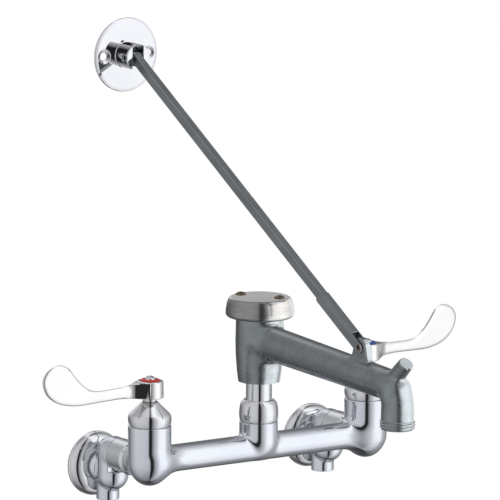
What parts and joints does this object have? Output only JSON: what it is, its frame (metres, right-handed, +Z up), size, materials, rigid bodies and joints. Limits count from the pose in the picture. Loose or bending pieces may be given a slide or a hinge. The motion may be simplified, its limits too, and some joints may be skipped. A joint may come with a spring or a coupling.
{
  "type": "wall-mount faucet",
  "caption": "Two-handle wall-mount service faucet with blade handles, supply stops, vacuum breaker, hose-thread spout, pail hook and folding wall brace.",
  "frame": {"origin": "in the wall plane, midway between the two inlets at inlet height", "axes": "+X to the right along the line of the inlets, -Y out from the wall towards the user, +Z up"},
  "size_m": [0.3992, 0.3905, 0.3518],
  "materials": {
    "body_chrome": "polished chrome plate over cast brass",
    "polished_chrome": "mirror chrome plate",
    "handle_chrome": "mirror chrome plate",
    "stem_chrome": "machined brass, chrome plated where it shows",
    "rough_chrome": "rough chrome plate, as cast under the plating",
    "cap_nickel": "satin nickel-grey plate",
    "brace_steel": "satin plated steel",
    "screw_brass": "dull brown brass",
    "brass": "machined",
    "rubber": "matt black",
    "hot_index": "gloss red",
    "cold_index": "gloss blue"
  },
  "bodies": {
    "root": {"body_casting": "body_chrome", "hot_escutcheon": "polished_chrome", "hot_stop_body": "polished_chrome", "hot_stop_gland": "brass", "hot_inlet_nut": "polished_chrome", "hot_inlet_washer": "rubber", "hot_cartridge": "brass", "hot_bonnet": "polished_chrome", "cold_escutcheon": "polished_chrome", "cold_stop_body": "polished_chrome", "cold_stop_gland": "brass", "cold_inlet_nut": "polished_chrome", "cold_inlet_washer": "rubber", "cold_cartridge": "brass", "cold_bonnet": "polished_chrome", "spout_nut": "polished_chrome", "swivel_washer": "rubber"},
    "hot_valve": {"hot_stem": "stem_chrome", "hot_handle": "handle_chrome", "hot_index_ring": "hot_index", "hot_handle_screw": "polished_chrome"},
    "cold_valve": {"cold_stem": "stem_chrome", "cold_handle": "handle_chrome", "cold_index_ring": "cold_index", "cold_handle_screw": "polished_chrome"},
    "hot_stop": {"hot_stop_stem": "brass"},
    "cold_stop": {"cold_stop_stem": "brass"},
    "spout": {"swivel_tube": "polished_chrome", "spout_casting": "rough_chrome", "breaker_seat": "brass", "vent_seat": "brass", "breaker_cap": "cap_nickel", "cap_screws": "screw_brass"},
    "float": {"breaker_float": "rubber"},
    "brace": {"brace_clevis": "brace_steel", "brace_bar": "brace_steel", "brace_pin": "screw_brass"},
    "flange": {"wall_flange": "polished_chrome", "flange_pivot_screw": "brace_steel"}
  },
  "joints": [
    {"name": "hot_handle_turn", "type": "hinge", "parent": "root", "child": "hot_valve", "pos_m": [-0.1016, -0.076, 0.06], "axis": [0, 0, 1], "range_deg": [0, 90]},
    {"name": "cold_handle_turn", "type": "hinge", "parent": "root", "child": "cold_valve", "pos_m": [0.1016, -0.076, 0.06], "axis": [0, 0, -1], "range_deg": [0, 90]},
    {"name": "hot_stop_turn", "type": "hinge", "parent": "root", "child": "hot_stop", "pos_m": [-0.1016, -0.0185, -0.02], "axis": [0, 0, 1], "range_deg": [0, 360]},
    {"name": "cold_stop_turn", "type": "hinge", "parent": "root", "child": "cold_stop", "pos_m": [0.1016, -0.0185, -0.02], "axis": [0, 0, 1], "range_deg": [0, 360]},
    {"name": "spout_swivel", "type": "hinge", "parent": "root", "child": "spout", "pos_m": [0, -0.076, 0.04], "axis": [0, 0, 1], "range_deg": [-35, 35]},
    {"name": "float_lift", "type": "slide", "parent": "spout", "child": "float", "axis": [0, 0, 1], "range_m": [0, 0.004]},
    {"name": "brace_fold", "type": "hinge", "parent": "spout", "child": "brace", "pos_m": [0, -0.2134, 0.1172], "axis": [1, 0, 0], "range_deg": [-18, 75]},
    {"name": "flange_tilt", "type": "hinge", "parent": "brace", "child": "flange", "pos_m": [0, 0.10047, 0.29696], "axis": [1, 0, 0], "range_deg": [-45, 60]}
  ]
}
